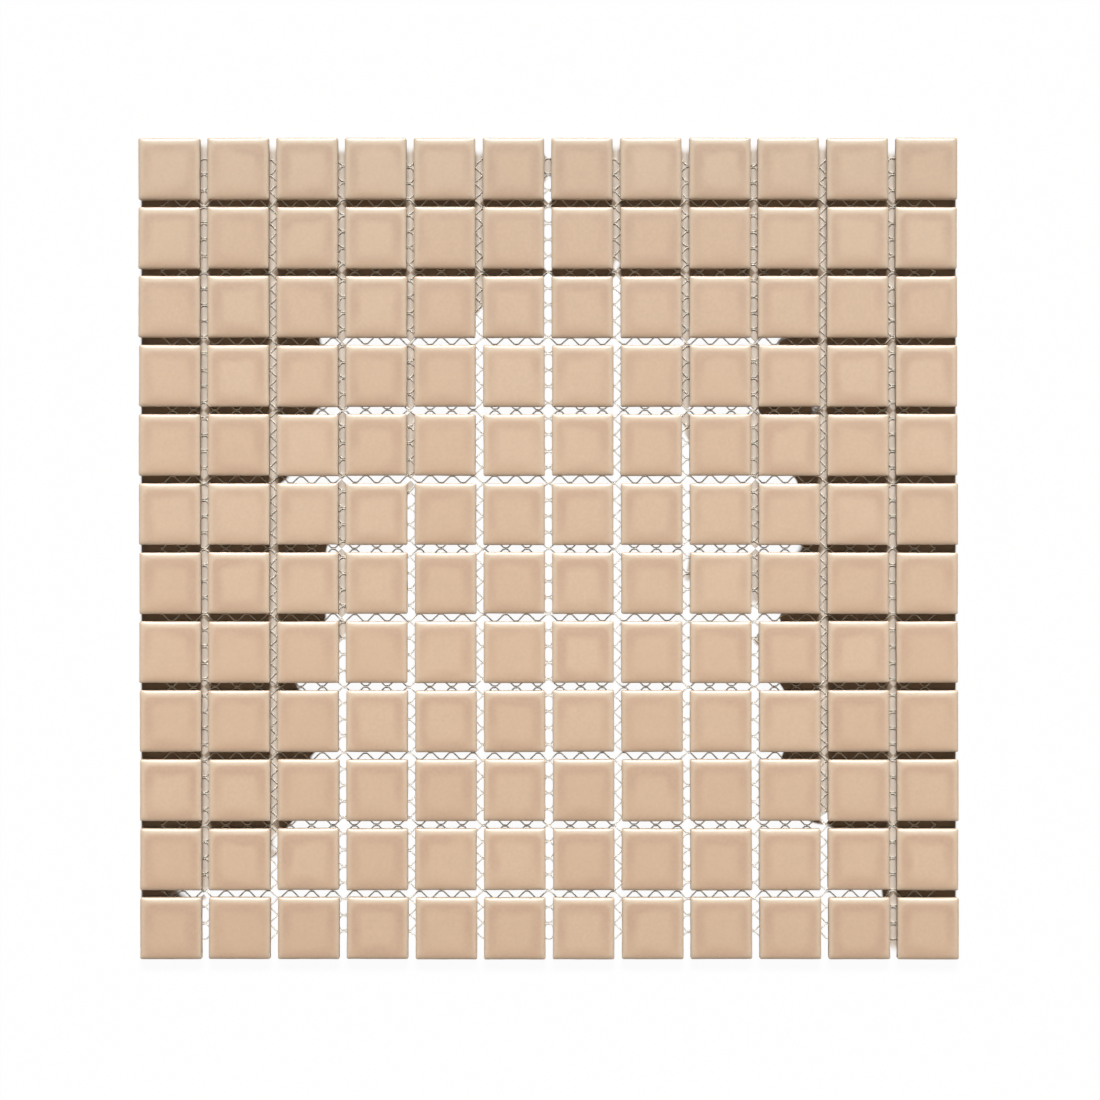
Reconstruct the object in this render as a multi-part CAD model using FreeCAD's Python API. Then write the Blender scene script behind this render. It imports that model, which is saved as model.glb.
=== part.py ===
import FreeCAD, Part
import math
import os

# A mosaic sheet: square glazed chips laid in a grid, face up, on a woven net glued to their backs.
# Millimetres. +Z is up, out of the glazed faces. +X runs along a row of chips and +Y up the columns.
# The origin is at the centre of the sheet, on the underside of the net, where it meets the wall
# or the floor.

# The grid of chips
chips_per_side = 12
chip_side = 22.3
joint_width = 2.7

# One chip: upright sides, a rounded cushion edge round the face, a small chamfer round the back
chip_thickness = 4.8
corner_radius = 0.9
corner_radius_on_face = 2.2
cushion_width = 2.1
cushion_height = 1.2
cushion_steps = 4
back_chamfer = 0.35

# The net: threads that zigzag along X, and lie side by side in pairs where they meet
thread_width = 0.42
thread_thickness = 0.45
mesh_length = 7.8
mesh_height = 5.9
paired_length = 1.4
net_margin = 7.0
net_bands = 12

# Worked out from the sizes above
chip_pitch = chip_side + joint_width
sheet_side = chips_per_side * chip_pitch - joint_width
half_mesh_height = mesh_height / 2
meshes_across = 2 * int((sheet_side - 2 * net_margin) / (2 * mesh_length))
meshes_up = int((sheet_side - 2 * net_margin) / mesh_height)
net_left = -meshes_across * mesh_length / 2
net_bottom = -meshes_up * mesh_height / 2


def rounded_square(side, radius, z):
    """One closed outline: four straight sides joined by four quarter arcs."""
    half = side / 2
    straight = half - radius
    on_arc = straight + radius * math.sqrt(0.5)
    edges = []
    for quarter in range(4):
        turn = FreeCAD.Rotation(FreeCAD.Vector(0, 0, 1), 90 * quarter)
        points = [(half, -straight), (half, straight), (on_arc, on_arc), (straight, half)]
        low, high, middle, end = [turn.multVec(FreeCAD.Vector(x, y, z)) for x, y in points]
        edges.append(Part.LineSegment(low, high).toShape())
        edges.append(Part.Arc(high, middle, end).toShape())
    return Part.Wire(edges)


def make_chip():
    """A chip centred on the Z axis, its back on the net."""
    back = thread_thickness
    shoulder = back + chip_thickness - cushion_height
    outlines = [
        rounded_square(chip_side - 2 * back_chamfer, corner_radius, back),
        rounded_square(chip_side, corner_radius, back + back_chamfer),
        rounded_square(chip_side, corner_radius, shoulder),
    ]
    for step in range(1, cushion_steps + 1):
        angle = math.pi / 2 * step / cushion_steps
        inset_share = 1 - math.cos(angle)
        inset = cushion_width * inset_share
        radius = corner_radius + (corner_radius_on_face - corner_radius) * inset_share
        height = shoulder + cushion_height * math.sin(angle)
        outlines.append(rounded_square(chip_side - 2 * inset, radius, height))
    return Part.makeLoft(outlines, True, True)


def chip_centre(index):
    """The place of a row or column of chips, counted from the left or from the top."""
    return (index - (chips_per_side - 1) / 2) * chip_pitch


def make_row(chip, row):
    """All the chips of one row, as separate solids. Row 0 is the furthest along +Y."""
    chips = []
    for column in range(chips_per_side):
        place = FreeCAD.Vector(chip_centre(column), -chip_centre(row), 0)
        chips.append(chip.translated(place))
    return Part.makeCompound(chips)


def mesh_corners():
    """Half the opening between four threads: its side tip, and the end of its flat top."""
    straight = mesh_length / 2 - paired_length / 2
    slope = straight - paired_length / 2
    slant = math.hypot(slope, half_mesh_height)
    tip_x = straight - thread_width * slant / (2 * half_mesh_height)
    flat_y = half_mesh_height - thread_width
    flat_x = tip_x - slope * flat_y / half_mesh_height
    return tip_x, flat_x, flat_y


def polygon(points, z):
    corners = [FreeCAD.Vector(x, y, z) for x, y in points]
    return Part.makePolygon(corners + corners[:1])


def make_net_band(rows):
    """A band of net from y = 0 up, its threads fused wherever two of them lie side by side."""
    tip_x, flat_x, flat_y = mesh_corners()
    left = net_left
    right = -net_left
    low = 0
    high = rows * mesh_height

    outline = [(left, low)]
    for column in range(meshes_across):
        x = left + (column + 0.5) * mesh_length
        outline += [(x - tip_x, low), (x - flat_x, low + flat_y)]
        outline += [(x + flat_x, low + flat_y), (x + tip_x, low)]
    outline.append((right, low))
    sides = []
    for row in range(rows):
        y = low + (row + 0.5) * mesh_height
        sides += [(0, y - flat_y), (flat_x, y - flat_y), (tip_x, y)]
        sides += [(flat_x, y + flat_y), (0, y + flat_y)]
    outline += [(right - inward, y) for inward, y in sides]
    outline.append((right, high))
    for column in reversed(range(meshes_across)):
        x = left + (column + 0.5) * mesh_length
        outline += [(x + tip_x, high), (x + flat_x, high - flat_y)]
        outline += [(x - flat_x, high - flat_y), (x - tip_x, high)]
    outline.append((left, high))
    outline += [(left + inward, y) for inward, y in reversed(sides)]

    centres = []
    for row in range(rows):
        for column in range(1, meshes_across):
            centres.append((left + column * mesh_length, low + (row + 0.5) * mesh_height))
    for row in range(1, rows):
        for column in range(meshes_across):
            centres.append((left + (column + 0.5) * mesh_length, low + row * mesh_height))

    opening = [(tip_x, 0), (flat_x, flat_y), (-flat_x, flat_y)]
    opening += [(-tip_x, 0), (-flat_x, -flat_y), (flat_x, -flat_y)]
    wires = [polygon(outline, 0)]
    for x, y in centres:
        wires.append(polygon([(x + dx, y + dy) for dx, dy in opening], 0))
    face = Part.makeFace(wires, "Part::FaceMakerBullseye")
    return face.extrude(FreeCAD.Vector(0, 0, thread_thickness))


def save(shape, node):
    shape.exportStep(os.path.join("parts", node + ".step"))
    print(f"{node}: {len(shape.Solids)} solids, {shape.Volume / 1000:.2f} cm3")


os.makedirs("parts", exist_ok=True)
chip = make_chip()
for row in range(chips_per_side):
    save(make_row(chip, row), f"tile_row_{row + 1:02d}")
band_shapes = {}
for band in range(net_bands):
    first_row = band * meshes_up // net_bands
    rows = (band + 1) * meshes_up // net_bands - first_row
    if rows not in band_shapes:
        band_shapes[rows] = make_net_band(rows)
    place = FreeCAD.Vector(0, net_bottom + first_row * mesh_height, 0)
    save(band_shapes[rows].translated(place), f"net_band_{band + 1:02d}")
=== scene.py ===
# %% [markdown]
# A mosaic tile sheet, seen from straight above. It is stock for a wall or a floor: square glazed
# ceramic chips, laid face up in an even grid, on an open net that is glued to their backs and keeps
# the joints between them even.
#
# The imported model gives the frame: where each row of chips and each band of net is, in metres.
# Everything below is made around it, and each new piece stands for the solid that it replaces.

import math
import random

import bmesh
import bpy
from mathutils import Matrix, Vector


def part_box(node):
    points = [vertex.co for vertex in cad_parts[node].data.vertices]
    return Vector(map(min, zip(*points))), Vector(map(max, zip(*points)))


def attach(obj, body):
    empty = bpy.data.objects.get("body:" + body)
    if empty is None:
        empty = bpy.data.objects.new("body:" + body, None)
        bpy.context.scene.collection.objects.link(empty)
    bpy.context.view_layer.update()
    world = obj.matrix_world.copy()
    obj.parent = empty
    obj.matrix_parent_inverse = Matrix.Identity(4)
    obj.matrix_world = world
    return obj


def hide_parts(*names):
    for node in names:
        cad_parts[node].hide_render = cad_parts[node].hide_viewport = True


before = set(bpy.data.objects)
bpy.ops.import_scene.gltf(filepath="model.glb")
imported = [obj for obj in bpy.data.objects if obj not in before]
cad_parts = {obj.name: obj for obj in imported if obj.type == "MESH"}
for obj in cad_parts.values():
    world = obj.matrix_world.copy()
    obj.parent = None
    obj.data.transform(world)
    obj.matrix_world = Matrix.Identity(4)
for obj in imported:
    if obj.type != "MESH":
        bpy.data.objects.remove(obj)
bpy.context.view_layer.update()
MM = 0.001
BODY = "root"


# %% [markdown]
# The sizes come from the frame. The first row's box is one chip deep, and the whole sheet is twelve
# steps wide less one joint, so the step and the joint follow. The net's thickness is the height at
# which the chips start.

# %% Sizes read from the frame
ROWS = 12
CHIPS_PER_ROW = 12
NET_BANDS = 12

first_row_low, first_row_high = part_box("tile_row_01")
net_low, net_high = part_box("net_band_01")

CHIP_SIDE = first_row_high[1] - first_row_low[1]
SHEET_SIDE = first_row_high[0] - first_row_low[0]
PITCH = (SHEET_SIDE - CHIP_SIDE) / (CHIPS_PER_ROW - 1)
CHIP_BACK = first_row_low[2]
CHIP_TOP = first_row_high[2]
NET_LEFT, NET_RIGHT = net_low[0], net_high[0]
BAND_HEIGHT = net_high[1] - net_low[1]
HALF_CHIP = CHIP_SIDE / 2

print(f"chip {CHIP_SIDE / MM:.2f} mm, step {PITCH / MM:.2f} mm, sheet {SHEET_SIDE / MM:.2f} mm")


# %% [markdown]
# Shader maths reads best as maths. A Wire is a value that flows through a node tree, and adding or
# multiplying two of them adds the Math node that does it. The same class serves materials and
# Geometry Nodes. Every other node comes from one method, which takes the node's kind, its settings
# and what its sockets get.

# %% A short way to write node trees
class Wire:
    """One output socket, with arithmetic."""

    def __init__(self, nodes, socket):
        self.nodes = nodes
        self.socket = socket

    def maths(self, operation, *values):
        return self.nodes.add("ShaderNodeMath", {"operation": operation}, dict(enumerate(values)))

    def __add__(self, other):
        return self.maths("ADD", self, other)

    def __sub__(self, other):
        return self.maths("SUBTRACT", self, other)

    def __mul__(self, other):
        return self.maths("MULTIPLY", self, other)

    def __truediv__(self, other):
        return self.maths("DIVIDE", self, other)

    def __pow__(self, other):
        return self.maths("POWER", self, other)

    def __radd__(self, other):
        return self.maths("ADD", other, self)

    def __rsub__(self, other):
        return self.maths("SUBTRACT", other, self)

    def __rmul__(self, other):
        return self.maths("MULTIPLY", other, self)

    def __abs__(self):
        return self.maths("ABSOLUTE", self)

    def fraction(self):
        return self.maths("FRACT", self)

    def higher(self, other):
        return self.maths("MAXIMUM", self, other)

    def lower(self, other):
        return self.maths("MINIMUM", self, other)

    def smooth(self, start, end):
        """0 before start, 1 after end, and an even S between them."""
        settings = {"interpolation_type": "SMOOTHSTEP", "clamp": True}
        sockets = {"Value": self, "From Min": start, "From Max": end}
        return self.nodes.add("ShaderNodeMapRange", settings, sockets)

    def out(self, name):
        """Another output of the node that this wire comes from."""
        return Wire(self.nodes, self.nodes.find(self.socket.node.outputs, name))


class Nodes:
    """A node tree that is filled by calls to add."""

    def __init__(self, tree):
        self.tree = tree

    def find(self, sockets, key):
        if isinstance(key, int):
            return sockets[key]
        return next(socket for socket in sockets if socket.name == key and socket.enabled)

    def add(self, kind, settings=None, sockets=None, out=0):
        node = self.tree.nodes.new(kind)
        for name, value in (settings or {}).items():
            setattr(node, name, value)
        for key, value in (sockets or {}).items():
            socket = self.find(node.inputs, key)
            if isinstance(value, Wire):
                self.tree.links.new(value.socket, socket)
            else:
                socket.default_value = value
        if not node.outputs:
            return None
        return Wire(self, self.find(node.outputs, out))

    def noise(self, where, scale, detail=2.0, out="Fac"):
        """A soft random pattern that keeps near 0.5."""
        sockets = {"Vector": where, "Scale": scale, "Detail": detail}
        return self.add("ShaderNodeTexNoise", sockets=sockets, out=out)

    def stored(self, name, out="Fac"):
        """A value that a generator stored in the mesh under this name."""
        return self.add("ShaderNodeAttribute", {"attribute_name": name}, out=out)

    def mix_colour(self, share, first, second):
        settings = {"data_type": "RGBA", "clamp_factor": True}
        return self.add("ShaderNodeMix", settings, {"Factor": share, "A": first, "B": second}, "Result")

    def scale_colour(self, colour, amount):
        """A colour made lighter or darker by a factor."""
        plain = colour if isinstance(colour, Wire) else colour[:3]
        sockets = {0: plain, "Scale": amount}
        return self.add("ShaderNodeVectorMath", {"operation": "SCALE"}, sockets, "Vector")


def new_material(name):
    """An empty material: its Nodes, and the material."""
    material = bpy.data.materials.new(name)
    material.use_nodes = True
    material.node_tree.nodes.clear()
    return Nodes(material.node_tree), material


# %% [markdown]
# A Geometry Nodes tree needs its inputs named before its nodes can use them. This helper makes the
# tree and its inputs together. A second one runs the tree on an empty mesh, with the inputs set by
# the identifiers of their sockets, and keeps only the plain mesh that comes out.

# %% Helpers for Geometry Nodes
SOCKET_KINDS = {
    "float": "NodeSocketFloat",
    "int": "NodeSocketInt",
    "object": "NodeSocketObject",
    "material": "NodeSocketMaterial",
}


def new_generator(name, inputs):
    """A Geometry Nodes tree with named inputs: its Nodes, and a wire from each input by name."""
    group = bpy.data.node_groups.new(name, "GeometryNodeTree")
    group.interface.new_socket("Geometry", in_out="OUTPUT", socket_type="NodeSocketGeometry")
    for label, kind in inputs.items():
        group.interface.new_socket(label, in_out="INPUT", socket_type=SOCKET_KINDS[kind])
    nodes = Nodes(group)
    entry = group.nodes.new("NodeGroupInput")
    wires = {label: Wire(nodes, entry.outputs[label]) for label in inputs}
    return nodes, wires


def run_generator(nodes, name, values):
    """One run of the tree, as a new object with a plain mesh."""
    empty = bpy.data.meshes.new(name + ".empty")
    carrier = bpy.data.objects.new(name + ".carrier", empty)
    bpy.context.collection.objects.link(carrier)
    modifier = carrier.modifiers.new("generator", "NODES")
    modifier.node_group = nodes.tree
    for item in nodes.tree.interface.items_tree:
        if item.in_out == "INPUT":
            modifier[item.identifier] = values[item.name]
    graph = bpy.context.evaluated_depsgraph_get()
    mesh = bpy.data.meshes.new_from_object(carrier.evaluated_get(graph))
    mesh.name = name
    carrier.modifiers.remove(modifier)
    bpy.data.objects.remove(carrier)
    piece = bpy.data.objects.new(name, mesh)
    bpy.context.collection.objects.link(piece)
    return piece


def triangles(piece):
    return sum(len(face.vertices) - 2 for face in piece.data.polygons)


# %% [markdown]
# One chip. A pressed chip has upright sides and a face that falls away towards its edges, steeper
# and steeper, with a small round lip where the glaze turns down the side. It could be a cube with
# a bevel, but a bevel is the same round all the way, and this face is a soft cushion. So it is
# made as rings: one rounded square after another, each a little further in and a little higher.

# %% The rings of a chip
CORNER_RADIUS = 0.6 * MM
CORNER_SPREAD = 0.6
LARGEST_CORNER = 0.7
SIDE_ROOM = 0.05 * MM
FACE_ROOM = 0.03 * MM
BACK_CHAMFER = 0.35 * MM
EDGE_DROP = 0.50 * MM
EDGE_REACH = 0.75 * MM
CROWN_DROP = 0.14 * MM
CROWN_REACH = 1.7 * MM
LIP_RADIUS = 0.24 * MM
LIP_INSET = 0.12 * MM
LIP_STEPS = 4
SIDE_STEPS = 8
CORNER_STEPS = 5
FACE_INSETS = (0.26, 0.44, 0.7, 1.0, 1.4, 2.0, 2.9, 4.2, 6.4)


def rounded_square(inset):
    """The points of one ring, counter-clockwise from the low end of the +X side."""
    half = HALF_CHIP - SIDE_ROOM - inset
    radius = min(CORNER_RADIUS + CORNER_SPREAD * inset, LARGEST_CORNER * half)
    straight = half - radius
    side = []
    for step in range(SIDE_STEPS):
        side.append((half, straight * (2 * step / SIDE_STEPS - 1)))
    for step in range(CORNER_STEPS):
        angle = math.pi / 2 * step / CORNER_STEPS
        side.append((straight + radius * math.cos(angle), straight + radius * math.sin(angle)))
    points = []
    for _ in range(4):
        points += side
        side = [(-y, x) for x, y in side]
    return points


def face_height(inset):
    """The height of the face, this far in from the chip's side."""
    edge = EDGE_DROP * math.exp(-inset / EDGE_REACH)
    crown = CROWN_DROP * math.exp(-inset / CROWN_REACH)
    return CHIP_TOP - FACE_ROOM - edge - crown


# %% The mesh of a chip
def cushion_profile():
    """The chip's outline from its back to the middle of its face, as inset and height."""
    slope_step = 0.01 * MM
    slope = (face_height(LIP_INSET + slope_step) - face_height(LIP_INSET)) / slope_step
    lip_turn = math.atan2(1, slope)
    lip_rise = LIP_RADIUS * math.sin(lip_turn)
    lip_top = face_height(LIP_RADIUS * (1 - math.cos(lip_turn)))
    profile = [(BACK_CHAMFER, CHIP_BACK), (0, CHIP_BACK + BACK_CHAMFER)]
    for step in range(LIP_STEPS + 1):
        turn = lip_turn * step / LIP_STEPS
        inset = LIP_RADIUS * (1 - math.cos(turn))
        profile.append((inset, lip_top - lip_rise + LIP_RADIUS * math.sin(turn)))
    for inset_mm in FACE_INSETS:
        profile.append((inset_mm * MM, face_height(inset_mm * MM)))
    return profile


def make_chip():
    """The mesh that every chip is a copy of, centred on the Z axis."""
    shape = bmesh.new()
    rings = []
    for inset, height in cushion_profile():
        rings.append([shape.verts.new((x, y, height)) for x, y in rounded_square(inset)])
    shape.faces.new(reversed(rings[0]))
    shape.faces.new(rings[-1])
    for lower, upper in zip(rings, rings[1:]):
        for index in range(len(lower)):
            following = (index + 1) % len(lower)
            corners = (lower[index], lower[following], upper[following], upper[index])
            shape.faces.new(corners)
    for face in shape.faces:
        face.smooth = True
    for ring in rings[:2]:
        for index, corner in enumerate(ring):
            edge = shape.edges.get((corner, ring[(index + 1) % len(ring)]))
            edge.smooth = False
    mesh = bpy.data.meshes.new("chip_pattern")
    shape.to_mesh(mesh)
    shape.free()
    return bpy.data.objects.new("chip_pattern", mesh)


chip_pattern = make_chip()
bpy.context.collection.objects.link(chip_pattern)
print("one chip:", len(chip_pattern.data.polygons), "faces")


# %% [markdown]
# The glaze. It is a cream-beige, satin, fired glass. While it is molten it pools inside the cushion
# edge, more on the side towards the top of the sheet, and there it is thicker, darker and pinker.
# The glaze lies thinly over the edge itself, where it is paler, and that pale rim is partly a
# painted highlight. Below the edge it stops in an uneven line, and the bare fired body shows. A
# fine mottle keeps the middle of a face from looking like paint.
#
# An image of a glaze would be quicker, but it would be the same on every chip. This pattern is made
# of numbers that the chips carry with them: where a point is on its own chip, how deep its pool is
# and how dark it was fired, and the tone of its row, which also holds painted light. No two chips
# come out alike.

# %% Glaze and fired body
GLAZE_PALE = (0.643, 0.449, 0.309, 1)
GLAZE_DEEP = (0.611, 0.413, 0.278, 1)
GLAZE_POOLED = (0.545, 0.353, 0.240, 1)
# Paler glaze on the rim: partly the glaze lying thinly there, partly a painted highlight.
GLAZE_THIN_AND_HIGHLIGHT = (0.600, 0.520, 0.415, 1)
FIRED_BODY = (0.60, 0.47, 0.35, 1)
GLAZE_LINE = 3.8 * MM
GLAZE_LINE_WAVER = 0.8 * MM
GLAZE_LINE_BLUR = 0.1 * MM
GLAZE_ROUGHNESS = 0.33
GLAZE_IOR = 1.55
BODY_ROUGHNESS = 0.8
ROUGHNESS_WAVER = 0.06

# The ring of pooled glaze, as shares of the way from the chip's middle to its side.
SQUARENESS = 8
RING_SHIFT = 0.045
POOL_START, POOL_FULL = 0.42, 0.74
POOL_FADE, POOL_END = 0.76, 0.92
RIM_HIGHLIGHT_START, RIM_HIGHLIGHT_FULL = 0.82, 0.96
RING_CLOUDS = 0.12
RING_BROAD = 0.30

# How strongly the ring shows.
POOL_DEPTH = 0.5
POOL_CHANCE = 0.4
POOL_LEAN = 0.4
POOL_CLOUDS = 0.8
POOL_BROAD = 1.2
RIM_HIGHLIGHT_SHARE = 0.3

# Unevenness: the scales of the patterns, and how much they change the tone and the relief.
BROAD_SCALE = 75
CLOUD_SCALE = 190
RIPPLE_SCALE = 420
MOTTLE_SCALE = 800
GRAIN_SCALE = 2600
CLOUD_TONE = 0.07
MOTTLE_TONE = 0.14
BODY_GRAIN_TONE = 0.2
RIPPLE_RELIEF = 0.02
GRAIN_RELIEF = 0.05
GRAIN_UNDER_GLAZE = 0.048
RELIEF_STRENGTH = 0.6


# %% The glaze as a material
def glaze_material():
    nodes, material = new_material("glazed_chip")
    place = nodes.stored("chip_place", "Vector")
    chip_x = nodes.add("ShaderNodeSeparateXYZ", sockets={"Vector": place}, out="X")
    across = chip_x / HALF_CHIP
    upward = chip_x.out("Y") / HALF_CHIP
    height = chip_x.out("Z")
    over_x = abs(across) ** SQUARENESS
    over_y = abs(upward + RING_SHIFT) ** SQUARENESS
    from_middle = (over_x + over_y) ** (1 / SQUARENESS)

    where = nodes.add("ShaderNodeTexCoord", out="Object")
    broad = nodes.noise(where, BROAD_SCALE, 1.0) - 0.5
    clouds = nodes.noise(where, CLOUD_SCALE, 3.0) - 0.5
    mottle = nodes.noise(where, MOTTLE_SCALE) - 0.5
    ripple = nodes.noise(where, RIPPLE_SCALE)
    grain = nodes.noise(where, GRAIN_SCALE)

    wavering = from_middle + clouds * RING_CLOUDS + broad * RING_BROAD
    inside = 1 - from_middle.smooth(POOL_FADE, POOL_END)
    ring = wavering.smooth(POOL_START, POOL_FULL) * inside
    patches = broad * POOL_BROAD + clouds * POOL_CLOUDS
    depth = POOL_DEPTH + nodes.stored("chip_pool") * POOL_CHANCE + patches + upward * POOL_LEAN
    # The pale rim band, partly glaze lying thinly and partly a painted highlight.
    thin_rim_highlight = from_middle.smooth(RIM_HIGHLIGHT_START, RIM_HIGHLIGHT_FULL)
    uneven = clouds * CLOUD_TONE + mottle * MOTTLE_TONE

    colour = nodes.mix_colour(nodes.stored("chip_tone"), GLAZE_DEEP, GLAZE_PALE)
    colour = nodes.mix_colour(ring * depth, colour, GLAZE_POOLED)
    colour = nodes.mix_colour(thin_rim_highlight * RIM_HIGHLIGHT_SHARE, colour, GLAZE_THIN_AND_HIGHLIGHT)
    colour = nodes.scale_colour(colour, 1 + nodes.stored("row_tone") + uneven)

    line = height + clouds * GLAZE_LINE_WAVER
    glazed = line.smooth(GLAZE_LINE - GLAZE_LINE_BLUR, GLAZE_LINE + GLAZE_LINE_BLUR)
    body_tone = 1 - BODY_GRAIN_TONE / 2 + grain * BODY_GRAIN_TONE
    bare = nodes.scale_colour(FIRED_BODY, body_tone)
    colour = nodes.mix_colour(glazed, bare, colour)
    smoothing = glazed * (BODY_ROUGHNESS - GLAZE_ROUGHNESS)
    roughness = BODY_ROUGHNESS - smoothing + clouds * ROUGHNESS_WAVER

    relief = ripple * RIPPLE_RELIEF + grain * (GRAIN_RELIEF - glazed * GRAIN_UNDER_GLAZE)
    bump_sockets = {"Height": relief, "Strength": RELIEF_STRENGTH, "Distance": 1 * MM}
    bump = nodes.add("ShaderNodeBump", sockets=bump_sockets)
    shader_sockets = {
        "Base Color": colour,
        "Roughness": roughness,
        "IOR": GLAZE_IOR,
        "Normal": bump,
    }
    shader = nodes.add("ShaderNodeBsdfPrincipled", sockets=shader_sockets)
    nodes.add("ShaderNodeOutputMaterial", sockets={"Surface": shader})
    return material


glazed_chip = glaze_material()
print("material:", glazed_chip.name)


# %% [markdown]
# A row of chips. They are laid by machine into a tray, so the grid is even, but each chip sits
# a hair off its place and turned a hair, and the whole sheet leans very slightly, because the net
# is soft. Geometry Nodes copy the one chip along the row, give each copy its own chance numbers,
# and then push the surface about by a few hundredths of a millimetre, so that no edge is ruled.
#
# The steps are a hair shorter than the model's, which leaves room for the lean and the shifts
# inside the model's box. The rows get darker away from a line a little below the middle: that is
# painted light, a pool of brighter light painted onto the middle of the sheet. Each row has a
# little chance of its own tone as well.

# %% The generator for a row of chips
CHIP_SHIFT = 0.10 * MM
CHIP_TURN = math.radians(0.25)
CHIP_TILT = math.radians(0.12)
EDGE_WAVER = 0.11 * MM
FACE_WAVER = 0.033 * MM
WAVER_SCALE = 190
SHEET_LEAN = 0.0023
STEP_ALONG = 0.9949
STEP_DOWN = 0.9985
ROW_TONES = 0.012
# Painted light: rows are made brighter towards a line a little below the middle of the sheet.
ROW_PAINTED_LIGHT = 0.085
PAINTED_LIGHT_TOP = 0.4
PAINTED_LIGHT_Y = -10 * MM
FIRING_SEED = 3
SEEDS_PER_ROW = 10


def random_spread(nodes, spread, seed):
    """A random vector for each chip, up to spread each way along each axis."""
    low = tuple(-value for value in spread)
    sockets = {"Min": low, "Max": tuple(spread), "Seed": seed}
    return nodes.add("FunctionNodeRandomValue", {"data_type": "FLOAT_VECTOR"}, sockets, "Value")


def keep_number(nodes, geometry, name, value, kind="FLOAT", domain="POINT"):
    """Stores a value that the material reads later."""
    settings = {"data_type": kind, "domain": domain}
    sockets = {"Geometry": geometry, "Name": name, "Value": value}
    return nodes.add("GeometryNodeStoreNamedAttribute", settings, sockets, "Geometry")


def build_row_generator():
    inputs = {
        "Chip": "object",
        "Chips": "int",
        "Step": "float",
        "First X": "float",
        "Row Y": "float",
        "Row tone and light": "float",
        "Seed": "int",
        "Glaze": "material",
    }
    nodes, given = new_generator("chip_row", inputs)
    start = nodes.add("ShaderNodeCombineXYZ", sockets={"X": given["First X"], "Y": given["Row Y"]})
    step = nodes.add("ShaderNodeCombineXYZ", sockets={"X": given["Step"]})
    line_sockets = {"Count": given["Chips"], "Start Location": start, "Offset": step}
    points = nodes.add("GeometryNodeMeshLine", {"mode": "OFFSET"}, line_sockets, "Mesh")
    shift = random_spread(nodes, (CHIP_SHIFT, CHIP_SHIFT, 0), given["Seed"])
    points = nodes.add("GeometryNodeSetPosition", sockets={"Geometry": points, "Offset": shift})

    chip = nodes.add("GeometryNodeObjectInfo", sockets={"Object": given["Chip"]}, out="Geometry")
    local = nodes.add("GeometryNodeInputPosition")
    chip = keep_number(nodes, chip, "chip_place", local, "FLOAT_VECTOR")
    turn = random_spread(nodes, (CHIP_TILT, CHIP_TILT, CHIP_TURN), given["Seed"] + 1)
    copies_sockets = {"Points": points, "Instance": chip, "Rotation": turn}
    copies = nodes.add("GeometryNodeInstanceOnPoints", sockets=copies_sockets)
    for name, extra in (("chip_pool", 2), ("chip_tone", 3)):
        seed = given["Seed"] + extra
        chance = nodes.add("FunctionNodeRandomValue", {"data_type": "FLOAT"}, {"Seed": seed}, "Value")
        copies = keep_number(nodes, copies, name, chance, domain="INSTANCE")
    copies = keep_number(nodes, copies, "row_tone", given["Row tone and light"], domain="INSTANCE")
    row = nodes.add("GeometryNodeRealizeInstances", sockets={"Geometry": copies})

    here = nodes.add("GeometryNodeInputPosition")
    noise = nodes.noise(here, WAVER_SCALE, out="Color")
    middle = {0: noise, 1: (0.5, 0.5, 0.5)}
    push = nodes.add("ShaderNodeVectorMath", {"operation": "SUBTRACT"}, middle, "Vector")
    reach = (2 * EDGE_WAVER, 2 * EDGE_WAVER, 2 * FACE_WAVER)
    push = nodes.add("ShaderNodeVectorMath", {"operation": "MULTIPLY"}, {0: push, 1: reach}, "Vector")
    row = nodes.add("GeometryNodeSetPosition", sockets={"Geometry": row, "Offset": push})
    row = nodes.add("GeometryNodeSetMaterial", sockets={"Geometry": row, "Material": given["Glaze"]})
    nodes.add("NodeGroupOutput", sockets={"Geometry": row})
    return nodes


# %% The rows of chips
def make_rows():
    generator = build_row_generator()
    firing = random.Random(FIRING_SEED)
    rows = []
    for index in range(ROWS):
        node = f"tile_row_{index + 1:02d}"
        low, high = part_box(node)
        row_y = (low[1] + high[1]) / 2 * STEP_DOWN
        step = PITCH * STEP_ALONG
        from_painted_light = (row_y - PAINTED_LIGHT_Y) / (SHEET_SIDE / 2)
        # A random tone for the row, plus painted light that brightens the rows near the middle.
        row_tone = ROW_TONES * (2 * firing.random() - 1) + ROW_PAINTED_LIGHT * (PAINTED_LIGHT_TOP - from_painted_light ** 2)
        values = {
            "Chip": chip_pattern,
            "Chips": CHIPS_PER_ROW,
            "Step": step,
            "First X": -step * (CHIPS_PER_ROW - 1) / 2 - SHEET_LEAN * row_y,
            "Row Y": row_y,
            "Row tone and light": row_tone,
            "Seed": SEEDS_PER_ROW * index,
            "Glaze": glazed_chip,
        }
        piece = run_generator(generator, f"chips_row_{index + 1:02d}", values)
        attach(piece, BODY)
        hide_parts(node)
        rows.append(piece)
    return rows


chip_rows = make_rows()
bpy.data.objects.remove(chip_pattern)
print("chips:", sum(triangles(piece) for piece in chip_rows), "triangles in", len(chip_rows), "rows")


# %% [markdown]
# The net. Its threads run along the rows as zigzags. At each turn a thread lies side by side with
# its neighbour for a short way, where the two are bonded, and between the turns they part, which
# leaves a six-sided mesh. A thread is a coated glass-fibre yarn, off-white and faintly twisted,
# pressed a little flat by the chips. Some light passes through it, as it does through a bundle of
# fine glass. It is bent less there than in solid glass, so the index is low.
#
# Its twist could be made as real strands, but on a thread half a millimetre wide they would be too
# fine to see. So the groove between them is a pattern that runs along the thread and round it, and
# the darkening in it is painted shade.

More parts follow.
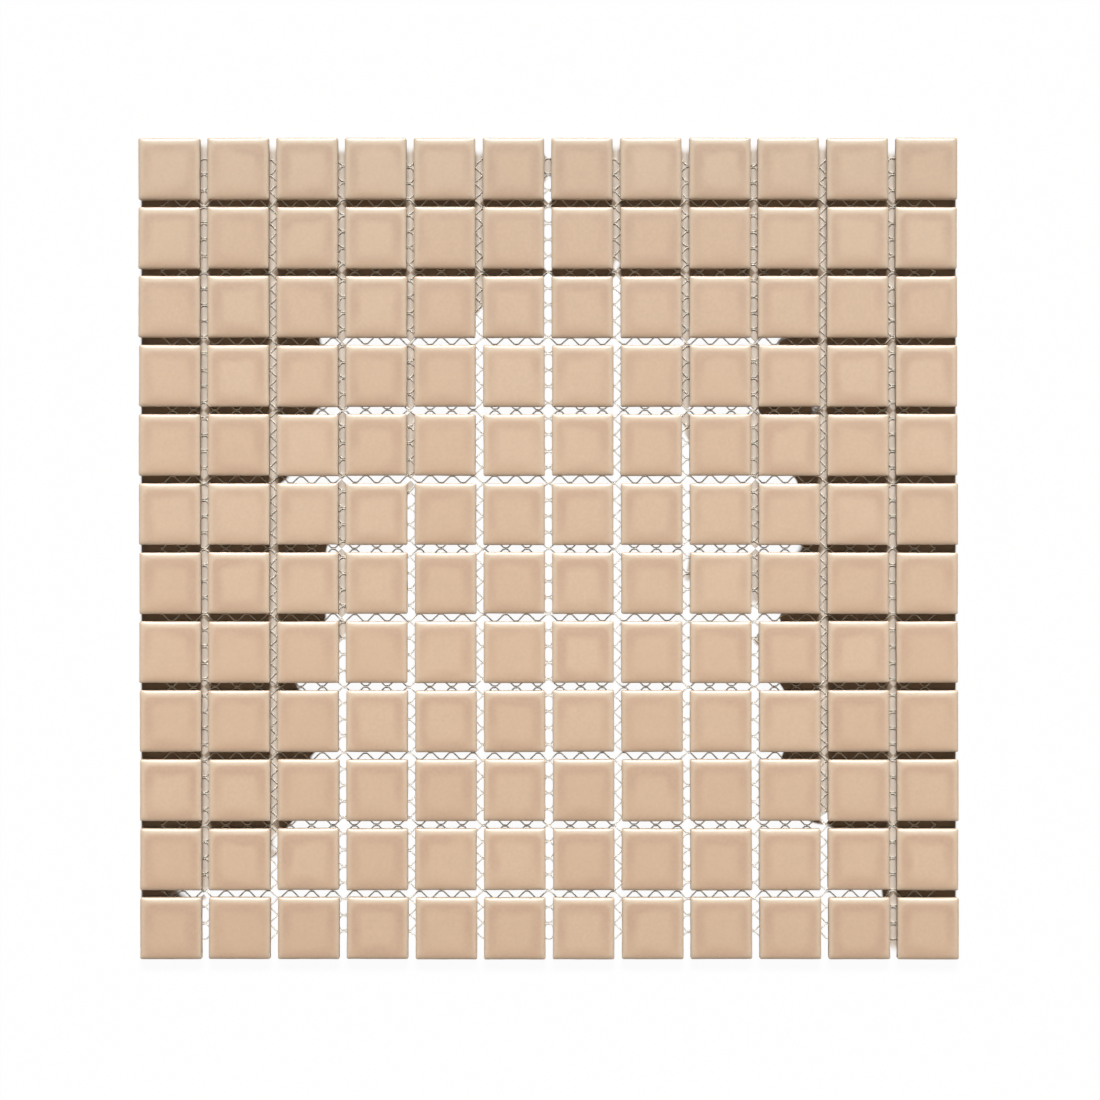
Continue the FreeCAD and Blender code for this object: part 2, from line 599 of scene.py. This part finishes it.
# %% Net thread material
THREAD_COLOUR = (0.96, 0.92, 0.85, 1)
THREAD_SHADE = (0.84, 0.78, 0.69, 1)
TWISTS_PER_METRE = 900
STRANDS = 2
GROOVE_WIDTH = 0.45
GROOVE_SHADE = 0.55
PATCH_SHADE = 0.3
FIBRE_SHADE = 0.25
PATCH_SCALE = 240
FIBRE_SCALE = 3500
STRAND_RELIEF = 0.5
FIBRE_RELIEF = 0.3
THREAD_RELIEF_STRENGTH = 0.5
THREAD_ROUGHNESS = 0.3
FIBRE_ROUGHNESS = 0.15
THREAD_IOR = 1.15
THREAD_CLEARNESS = 0.35


def thread_material():
    nodes, material = new_material("net_thread")
    along = nodes.stored("thread_run")
    around = nodes.stored("thread_turn")
    where = nodes.add("ShaderNodeTexCoord", out="Object")
    fibre = nodes.noise(where, FIBRE_SCALE)
    patch = nodes.noise(where, PATCH_SCALE)
    twist = abs((along * TWISTS_PER_METRE + around * STRANDS).fraction() * 2 - 1)
    strand = twist.smooth(0.0, GROOVE_WIDTH)
    uneven = (patch - 0.5) * PATCH_SHADE + (fibre - 0.5) * FIBRE_SHADE
    # The darker groove between the strands is painted shade. The patches and fibres are the yarn's own
    # uneven tone.
    shade = (1 - strand) * GROOVE_SHADE + uneven
    colour = nodes.mix_colour(shade, THREAD_COLOUR, THREAD_SHADE)
    relief = strand * STRAND_RELIEF + fibre * FIBRE_RELIEF
    bump_sockets = {"Height": relief, "Strength": THREAD_RELIEF_STRENGTH, "Distance": 0.1 * MM}
    bump = nodes.add("ShaderNodeBump", sockets=bump_sockets)
    shader_sockets = {
        "Base Color": colour,
        "Roughness": THREAD_ROUGHNESS + fibre * FIBRE_ROUGHNESS,
        "IOR": THREAD_IOR,
        "Transmission Weight": THREAD_CLEARNESS,
        "Normal": bump,
    }
    shader = nodes.add("ShaderNodeBsdfPrincipled", sockets=shader_sockets)
    nodes.add("ShaderNodeOutputMaterial", sockets={"Surface": shader})
    return material


net_thread = thread_material()
print("material:", net_thread.name)


# %% [markdown]
# The shape of the net. A zigzag with flat turns is a rule, so Geometry Nodes draw it: a straight
# line of points, pushed sideways by a wave with flat crests. The turns of the next thread are half a
# mesh further along. A little noise makes the meshes as uneven as a soft net really is. An oval is
# then swept along each line.

# %% The generator for a band of net
MESH_LENGTH = 7.8 * MM
PAIRED_LENGTH = 1.4 * MM
THREAD_WIDTH = 0.50 * MM
THREAD_THICKNESS = 0.42 * MM
THREADS_PER_BAND = 8
MESHES_ACROSS = round((NET_RIGHT - NET_LEFT) / MESH_LENGTH)
POINTS_PER_MESH = 10
THREAD_SIDES = 6
THREAD_STEP = BAND_HEIGHT / THREADS_PER_BAND
THREAD_WANDER = 0.5 * MM
WANDER_SCALE = 75


def build_net_generator():
    inputs = {
        "Threads": "int",
        "Thread step": "float",
        "Left": "float",
        "Right": "float",
        "Bottom": "float",
        "Centre height": "float",
        "Mesh length": "float",
        "Paired length": "float",
        "Thread width": "float",
        "Thread thickness": "float",
        "Points": "int",
        "Thread": "material",
    }
    nodes, given = new_generator("net_band", inputs)
    start_sockets = {"X": given["Left"], "Z": given["Centre height"]}
    start = nodes.add("ShaderNodeCombineXYZ", sockets=start_sockets)
    end = nodes.add("ShaderNodeCombineXYZ", sockets={"X": given["Right"], "Z": given["Centre height"]})
    line = nodes.add("GeometryNodeCurvePrimitiveLine", sockets={"Start": start, "End": end})
    resample_sockets = {"Curve": line, "Count": given["Points"]}
    line = nodes.add("GeometryNodeResampleCurve", sockets=resample_sockets, out="Curve")

    rise = nodes.add("ShaderNodeCombineXYZ", sockets={"Y": given["Thread step"]})
    low = nodes.add("ShaderNodeCombineXYZ", sockets={"Y": given["Bottom"]})
    stack_sockets = {"Count": given["Threads"], "Start Location": low, "Offset": rise}
    stack = nodes.add("GeometryNodeMeshLine", {"mode": "OFFSET"}, stack_sockets, "Mesh")
    copies_sockets = {"Points": stack, "Instance": line}
    copies = nodes.add("GeometryNodeInstanceOnPoints", sockets=copies_sockets)
    number = nodes.add("GeometryNodeInputIndex")
    copies = keep_number(nodes, copies, "thread_number", number, domain="INSTANCE")
    threads = nodes.add("GeometryNodeRealizeInstances", sockets={"Geometry": copies})

    here = nodes.add("GeometryNodeInputPosition")
    here_x = nodes.add("ShaderNodeSeparateXYZ", sockets={"Vector": here}, out="X")
    settings = {"data_type": "FLOAT"}
    name = {"Name": "thread_number"}
    order = nodes.add("GeometryNodeInputNamedAttribute", settings, name, "Attribute")
    phase = (here_x - given["Left"]) / given["Mesh length"] + order * 0.5
    swing = abs(phase.fraction() * 2 - 1)
    flat = given["Paired length"] / given["Mesh length"]
    climb = ((1 - swing) - flat) / (1 - 2 * flat)
    climb = climb.higher(0).lower(1)
    free_rise = given["Thread step"] - given["Thread width"]
    side = given["Thread width"] * 0.5 + free_rise * climb

    noise = nodes.noise(here, WANDER_SCALE, 1.0, "Color")
    noise_x = nodes.add("ShaderNodeSeparateXYZ", sockets={"Vector": noise}, out="X")
    wander_x = (noise_x - 0.5) * THREAD_WANDER * 2
    wander_y = (noise_x.out("Y") - 0.5) * THREAD_WANDER * 2
    push = nodes.add("ShaderNodeCombineXYZ", sockets={"X": wander_x, "Y": side + wander_y})
    threads = nodes.add("GeometryNodeSetPosition", sockets={"Geometry": threads, "Offset": push})

    run = nodes.add("GeometryNodeSplineParameter", out="Length")
    threads = keep_number(nodes, threads, "thread_run", run)
    radius_sockets = {"Curve": threads, "Radius": 1.0}
    threads = nodes.add("GeometryNodeSetCurveRadius", sockets=radius_sockets)
    threads = nodes.add("GeometryNodeSetCurveNormal", {"mode": "Z_UP"}, {"Curve": threads})
    ring_sockets = {"Resolution": THREAD_SIDES, "Radius": given["Thread width"] * 0.5}
    ring = nodes.add("GeometryNodeCurvePrimitiveCircle", sockets=ring_sockets, out="Curve")
    turn = nodes.add("GeometryNodeSplineParameter", out="Factor")
    ring = keep_number(nodes, ring, "thread_turn", turn)
    flatness = given["Thread thickness"] / given["Thread width"]
    oval = nodes.add("ShaderNodeCombineXYZ", sockets={"X": 1.0, "Y": flatness, "Z": 1.0})
    ring = nodes.add("GeometryNodeTransform", sockets={"Geometry": ring, "Scale": oval})
    tube_sockets = {"Curve": threads, "Profile Curve": ring, "Fill Caps": True}
    tube = nodes.add("GeometryNodeCurveToMesh", sockets=tube_sockets, out="Mesh")
    tube = nodes.add("GeometryNodeSetShadeSmooth", sockets={"Geometry": tube})
    tube = nodes.add("GeometryNodeRealizeInstances", sockets={"Geometry": tube})
    tube = nodes.add("GeometryNodeSetMaterial", sockets={"Geometry": tube, "Material": given["Thread"]})
    nodes.add("NodeGroupOutput", sockets={"Geometry": tube})
    return nodes


# %% The bands of net
def make_net():
    generator = build_net_generator()
    bands = []
    for index in range(NET_BANDS):
        node = f"net_band_{index + 1:02d}"
        low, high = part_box(node)
        values = {
            "Threads": THREADS_PER_BAND,
            "Thread step": THREAD_STEP,
            "Left": low[0],
            "Right": high[0],
            "Bottom": low[1],
            "Centre height": (low[2] + high[2]) / 2,
            "Mesh length": MESH_LENGTH,
            "Paired length": PAIRED_LENGTH,
            "Thread width": THREAD_WIDTH,
            "Thread thickness": THREAD_THICKNESS,
            "Points": MESHES_ACROSS * POINTS_PER_MESH + 1,
            "Thread": net_thread,
        }
        piece = run_generator(generator, f"net_threads_{index + 1:02d}", values)
        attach(piece, BODY)
        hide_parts(node)
        bands.append(piece)
    return bands


net_pieces = make_net()
print("net:", sum(triangles(piece) for piece in net_pieces), "triangles in", len(net_pieces), "bands")


# %% [markdown]
# The floor. The sheet lies on a pale surface. Outside the sheet it is white to the eye, with only
# a breath of the sheet's shadow. The joints show it in three ways. In the middle of the sheet and
# towards the bottom it is as white as outside. Elsewhere it takes the light and the shadows as they
# fall, and its colour is darkened as well: a warm grey of painted shade in the upright joints, and
# a darker brown of painted shadow in the level ones.
#
# Where it turns white follows plain rules. The level joints are white below a line and between
# two uprights that spread at the bottom. The upright joints are white inside a wedge that opens
# downwards, and in the last few millimetres at their ends. Noise makes the borders ragged.
#
# The white is plain white for the rays that see it, and an ordinary pale surface for the light that
# bounces, so it never adds light to the sheet.

# %% Floor
FLOOR_SIDE = 30.0
# The grey and the brown under the joints are painted shade and painted shadow: the floor is darkened
# where the sheet shades it.
FLOOR_PAINTED_SHADE = (0.66, 0.595, 0.53, 1)
FLOOR_PAINTED_SHADOW = (0.32, 0.25, 0.19, 1)
FLOOR_WHITE = (0.92, 0.92, 0.92, 1)
FLOOR_ROUGHNESS = 0.9
SHADOW_LEFT = 0.04
JOINT_BLUR = 0.5 * MM
WHITE_BLUR = 1 * MM
SIDE_STRIP = (1.4 * MM, 0.6 * MM)
END_STRIP = (5.8 * MM, 1.8 * MM)
LEVEL_TOP = 87 * MM
LEVEL_SIDE = 86 * MM
LEVEL_FLARE = 38 * MM
FLARE_START, FLARE_END = 85 * MM, 120 * MM
WEDGE_TOP = 100 * MM
WEDGE_HALF = 20 * MM
WEDGE_SLOPE = 0.42
RAGGED = 70 * MM
RAGGED_END = 12 * MM
RAGGED_SCALE = 28


def to_joint(along):
    """How far a point is from the middle line of the nearest joint."""
    return abs((along / PITCH + 0.5).fraction() - 0.5) * PITCH


def level_joint(x, y):
    """1 on the floor of a level joint, 0 on that of an upright one."""
    return (to_joint(x) - to_joint(y)).smooth(-JOINT_BLUR, JOINT_BLUR)


def white_in_joints(noise, x, y):
    """1 where the floor in a joint is white, 0 where it isn't."""
    flare = (0 - y).smooth(FLARE_START, FLARE_END) * LEVEL_FLARE
    level = (abs(x) - flare - LEVEL_SIDE).higher(y - LEVEL_TOP)
    upright = abs(x) - WEDGE_HALF - (WEDGE_TOP - y) * WEDGE_SLOPE
    in_level = level_joint(x, y)
    beyond = level * in_level + upright * (1 - in_level)
    return 1 - (beyond + (noise - 0.5) * RAGGED).smooth(-WHITE_BLUR, WHITE_BLUR)


# %% The floor's material and mesh
def seen_background(nodes):
    """1 for rays that show the background itself: direct, mirrored or refracted, never by bounce."""
    path = nodes.add("ShaderNodeLightPath", out="Is Camera Ray")
    mirrored = path.out("Is Glossy Ray").higher(path.out("Is Transmission Ray"))
    direct = 1 - path.out("Diffuse Depth").lower(1)
    return path.higher(mirrored * direct)


def floor_material():
    nodes, material = new_material("pale_floor")
    where = nodes.add("ShaderNodeTexCoord", out="Object")
    x = nodes.add("ShaderNodeSeparateXYZ", sockets={"Vector": where}, out="X")
    y = x.out("Y")
    half_sheet = SHEET_SIDE / 2
    past_sides = abs(x).smooth(half_sheet - SIDE_STRIP[0], half_sheet - SIDE_STRIP[1])
    noise = nodes.noise(where, RAGGED_SCALE, 3.0)
    ragged_end = abs(y) + (noise - 0.5) * RAGGED_END
    past_ends = ragged_end.smooth(half_sheet - END_STRIP[0], half_sheet - END_STRIP[1])
    outside = past_sides.higher(past_ends)
    white = outside.higher(white_in_joints(noise, x, y))
    seen = seen_background(nodes)
    # Painted shade in the upright joints, and painted shadow in the level ones.
    colour = nodes.mix_colour(level_joint(x, y), FLOOR_PAINTED_SHADE, FLOOR_PAINTED_SHADOW)
    colour = nodes.mix_colour(white, colour, FLOOR_WHITE)
    plain_sockets = {
        "Base Color": colour,
        "Roughness": FLOOR_ROUGHNESS,
        "Specular IOR Level": 0.0,
    }
    plain = nodes.add("ShaderNodeBsdfPrincipled", sockets=plain_sockets)
    shining = nodes.add("ShaderNodeEmission", sockets={"Color": (1, 1, 1, 1), "Strength": 1.0})
    share = white * seen * (1 - SHADOW_LEFT)
    both = nodes.add("ShaderNodeMixShader", sockets={0: share, 1: plain, 2: shining})
    nodes.add("ShaderNodeOutputMaterial", sockets={"Surface": both})
    return material


def make_floor():
    shape = bmesh.new()
    bmesh.ops.create_grid(shape, x_segments=1, y_segments=1, size=FLOOR_SIDE / 2)
    mesh = bpy.data.meshes.new("floor")
    shape.to_mesh(mesh)
    shape.free()
    floor = bpy.data.objects.new("floor", mesh)
    bpy.context.collection.objects.link(floor)
    mesh.materials.append(floor_material())
    return floor


floor = make_floor()
print("floor:", FLOOR_SIDE, "m across")


# %% [markdown]
# The light. The top edge of every chip is bright and its bottom edge dark, so the light comes from
# beyond the top of the sheet, fairly low. It is two lamps side by side, narrow enough to shine down
# the upright joints and to leave the level ones in shadow. Three wide lamps show only in the gloss,
# as soft boxes do: one from the top for the bright rim, and a weaker one from each side. A dim warm
# dome fills the rest. To the eye and in the gloss, the surroundings are white.

# %% Light
KEY_HEIGHT = math.radians(44)
KEY_TURNS = (math.radians(-9), math.radians(9))
KEY_SPREAD = math.radians(16)
KEY_SHARE = 0.955
DOME_SHARE = 0.045
DOME_COLOUR = (1.0, 0.86, 0.70, 1)
SKY_WHITE = (1, 1, 1, 1)
KEY_COLOUR = (1.0, 0.985, 0.955)
SHEEN_HEIGHT = math.radians(61)
SHEEN_SPREAD = math.radians(38)
SHEEN_COLOUR = (0.56, 0.90, 1.0)
SHEENS = ((0, 1.25), (math.radians(72), 0.65), (math.radians(-72), 0.65))


def add_sun(name, height, turn, spread, strength, colour):
    """A far lamp, this high above the floor and turned this far from the top of the sheet."""
    lamp = bpy.data.lights.new(name, "SUN")
    lamp.energy = strength
    lamp.angle = spread
    lamp.color = colour
    sun = bpy.data.objects.new(name, lamp)
    sun.rotation_euler = (math.radians(90) - height, 0, math.pi + turn)
    bpy.context.collection.objects.link(sun)
    return sun


def make_light():
    strength = math.pi * KEY_SHARE / math.sin(KEY_HEIGHT) / len(KEY_TURNS)
    for turn in KEY_TURNS:
        add_sun("key", KEY_HEIGHT, turn, KEY_SPREAD, strength, KEY_COLOUR)
    for turn, gloss in SHEENS:
        sheen = add_sun("sheen", SHEEN_HEIGHT, turn, SHEEN_SPREAD, gloss, SHEEN_COLOUR)
        sheen.visible_diffuse = False
        sheen.visible_transmission = False
    world = bpy.data.worlds.new("dome")
    bpy.context.scene.world = world
    world.use_nodes = True
    world.node_tree.nodes.clear()
    nodes = Nodes(world.node_tree)
    seen = seen_background(nodes)
    colour = nodes.mix_colour(seen, DOME_COLOUR, SKY_WHITE)
    sky_strength = DOME_SHARE + seen * (1 - DOME_SHARE)
    sky_sockets = {"Color": colour, "Strength": sky_strength}
    sky = nodes.add("ShaderNodeBackground", sockets=sky_sockets)
    nodes.add("ShaderNodeOutputWorld", sockets={"Surface": sky})


make_light()
print("key light", round(math.degrees(KEY_HEIGHT)), "degrees up")


# %% [markdown]
# The camera looks straight down, from far enough that the sides of the chips hardly show. Its lens
# follows from the photograph's scale, in which a chip's step covers 69 of the frame's 1100 pixels,
# and its place from the pixel at the middle of the sheet.

# %% Camera
PHOTO_PIXELS = 1100
PIXELS_PER_STEP = 69.22
SHEET_CENTRE_PIXEL = (548.05, 548.1)
CAMERA_HEIGHT = 1.4
SENSOR_MM = 36.0


def make_camera():
    pixel = PITCH / PIXELS_PER_STEP
    frame_width = PHOTO_PIXELS * pixel
    centre_pixel = (PHOTO_PIXELS - 1) / 2
    camera_data = bpy.data.cameras.new("camera")
    camera_data.sensor_width = SENSOR_MM
    camera_data.lens = SENSOR_MM * (CAMERA_HEIGHT - CHIP_TOP) / frame_width
    camera = bpy.data.objects.new("camera", camera_data)
    camera.location = (
        (centre_pixel - SHEET_CENTRE_PIXEL[0]) * pixel,
        (SHEET_CENTRE_PIXEL[1] - centre_pixel) * pixel,
        CAMERA_HEIGHT,
    )
    bpy.context.collection.objects.link(camera)
    bpy.context.scene.camera = camera
    return camera


camera = make_camera()
bpy.context.scene.view_settings.view_transform = "Standard"
print("lens", round(camera.data.lens, 1), "mm")
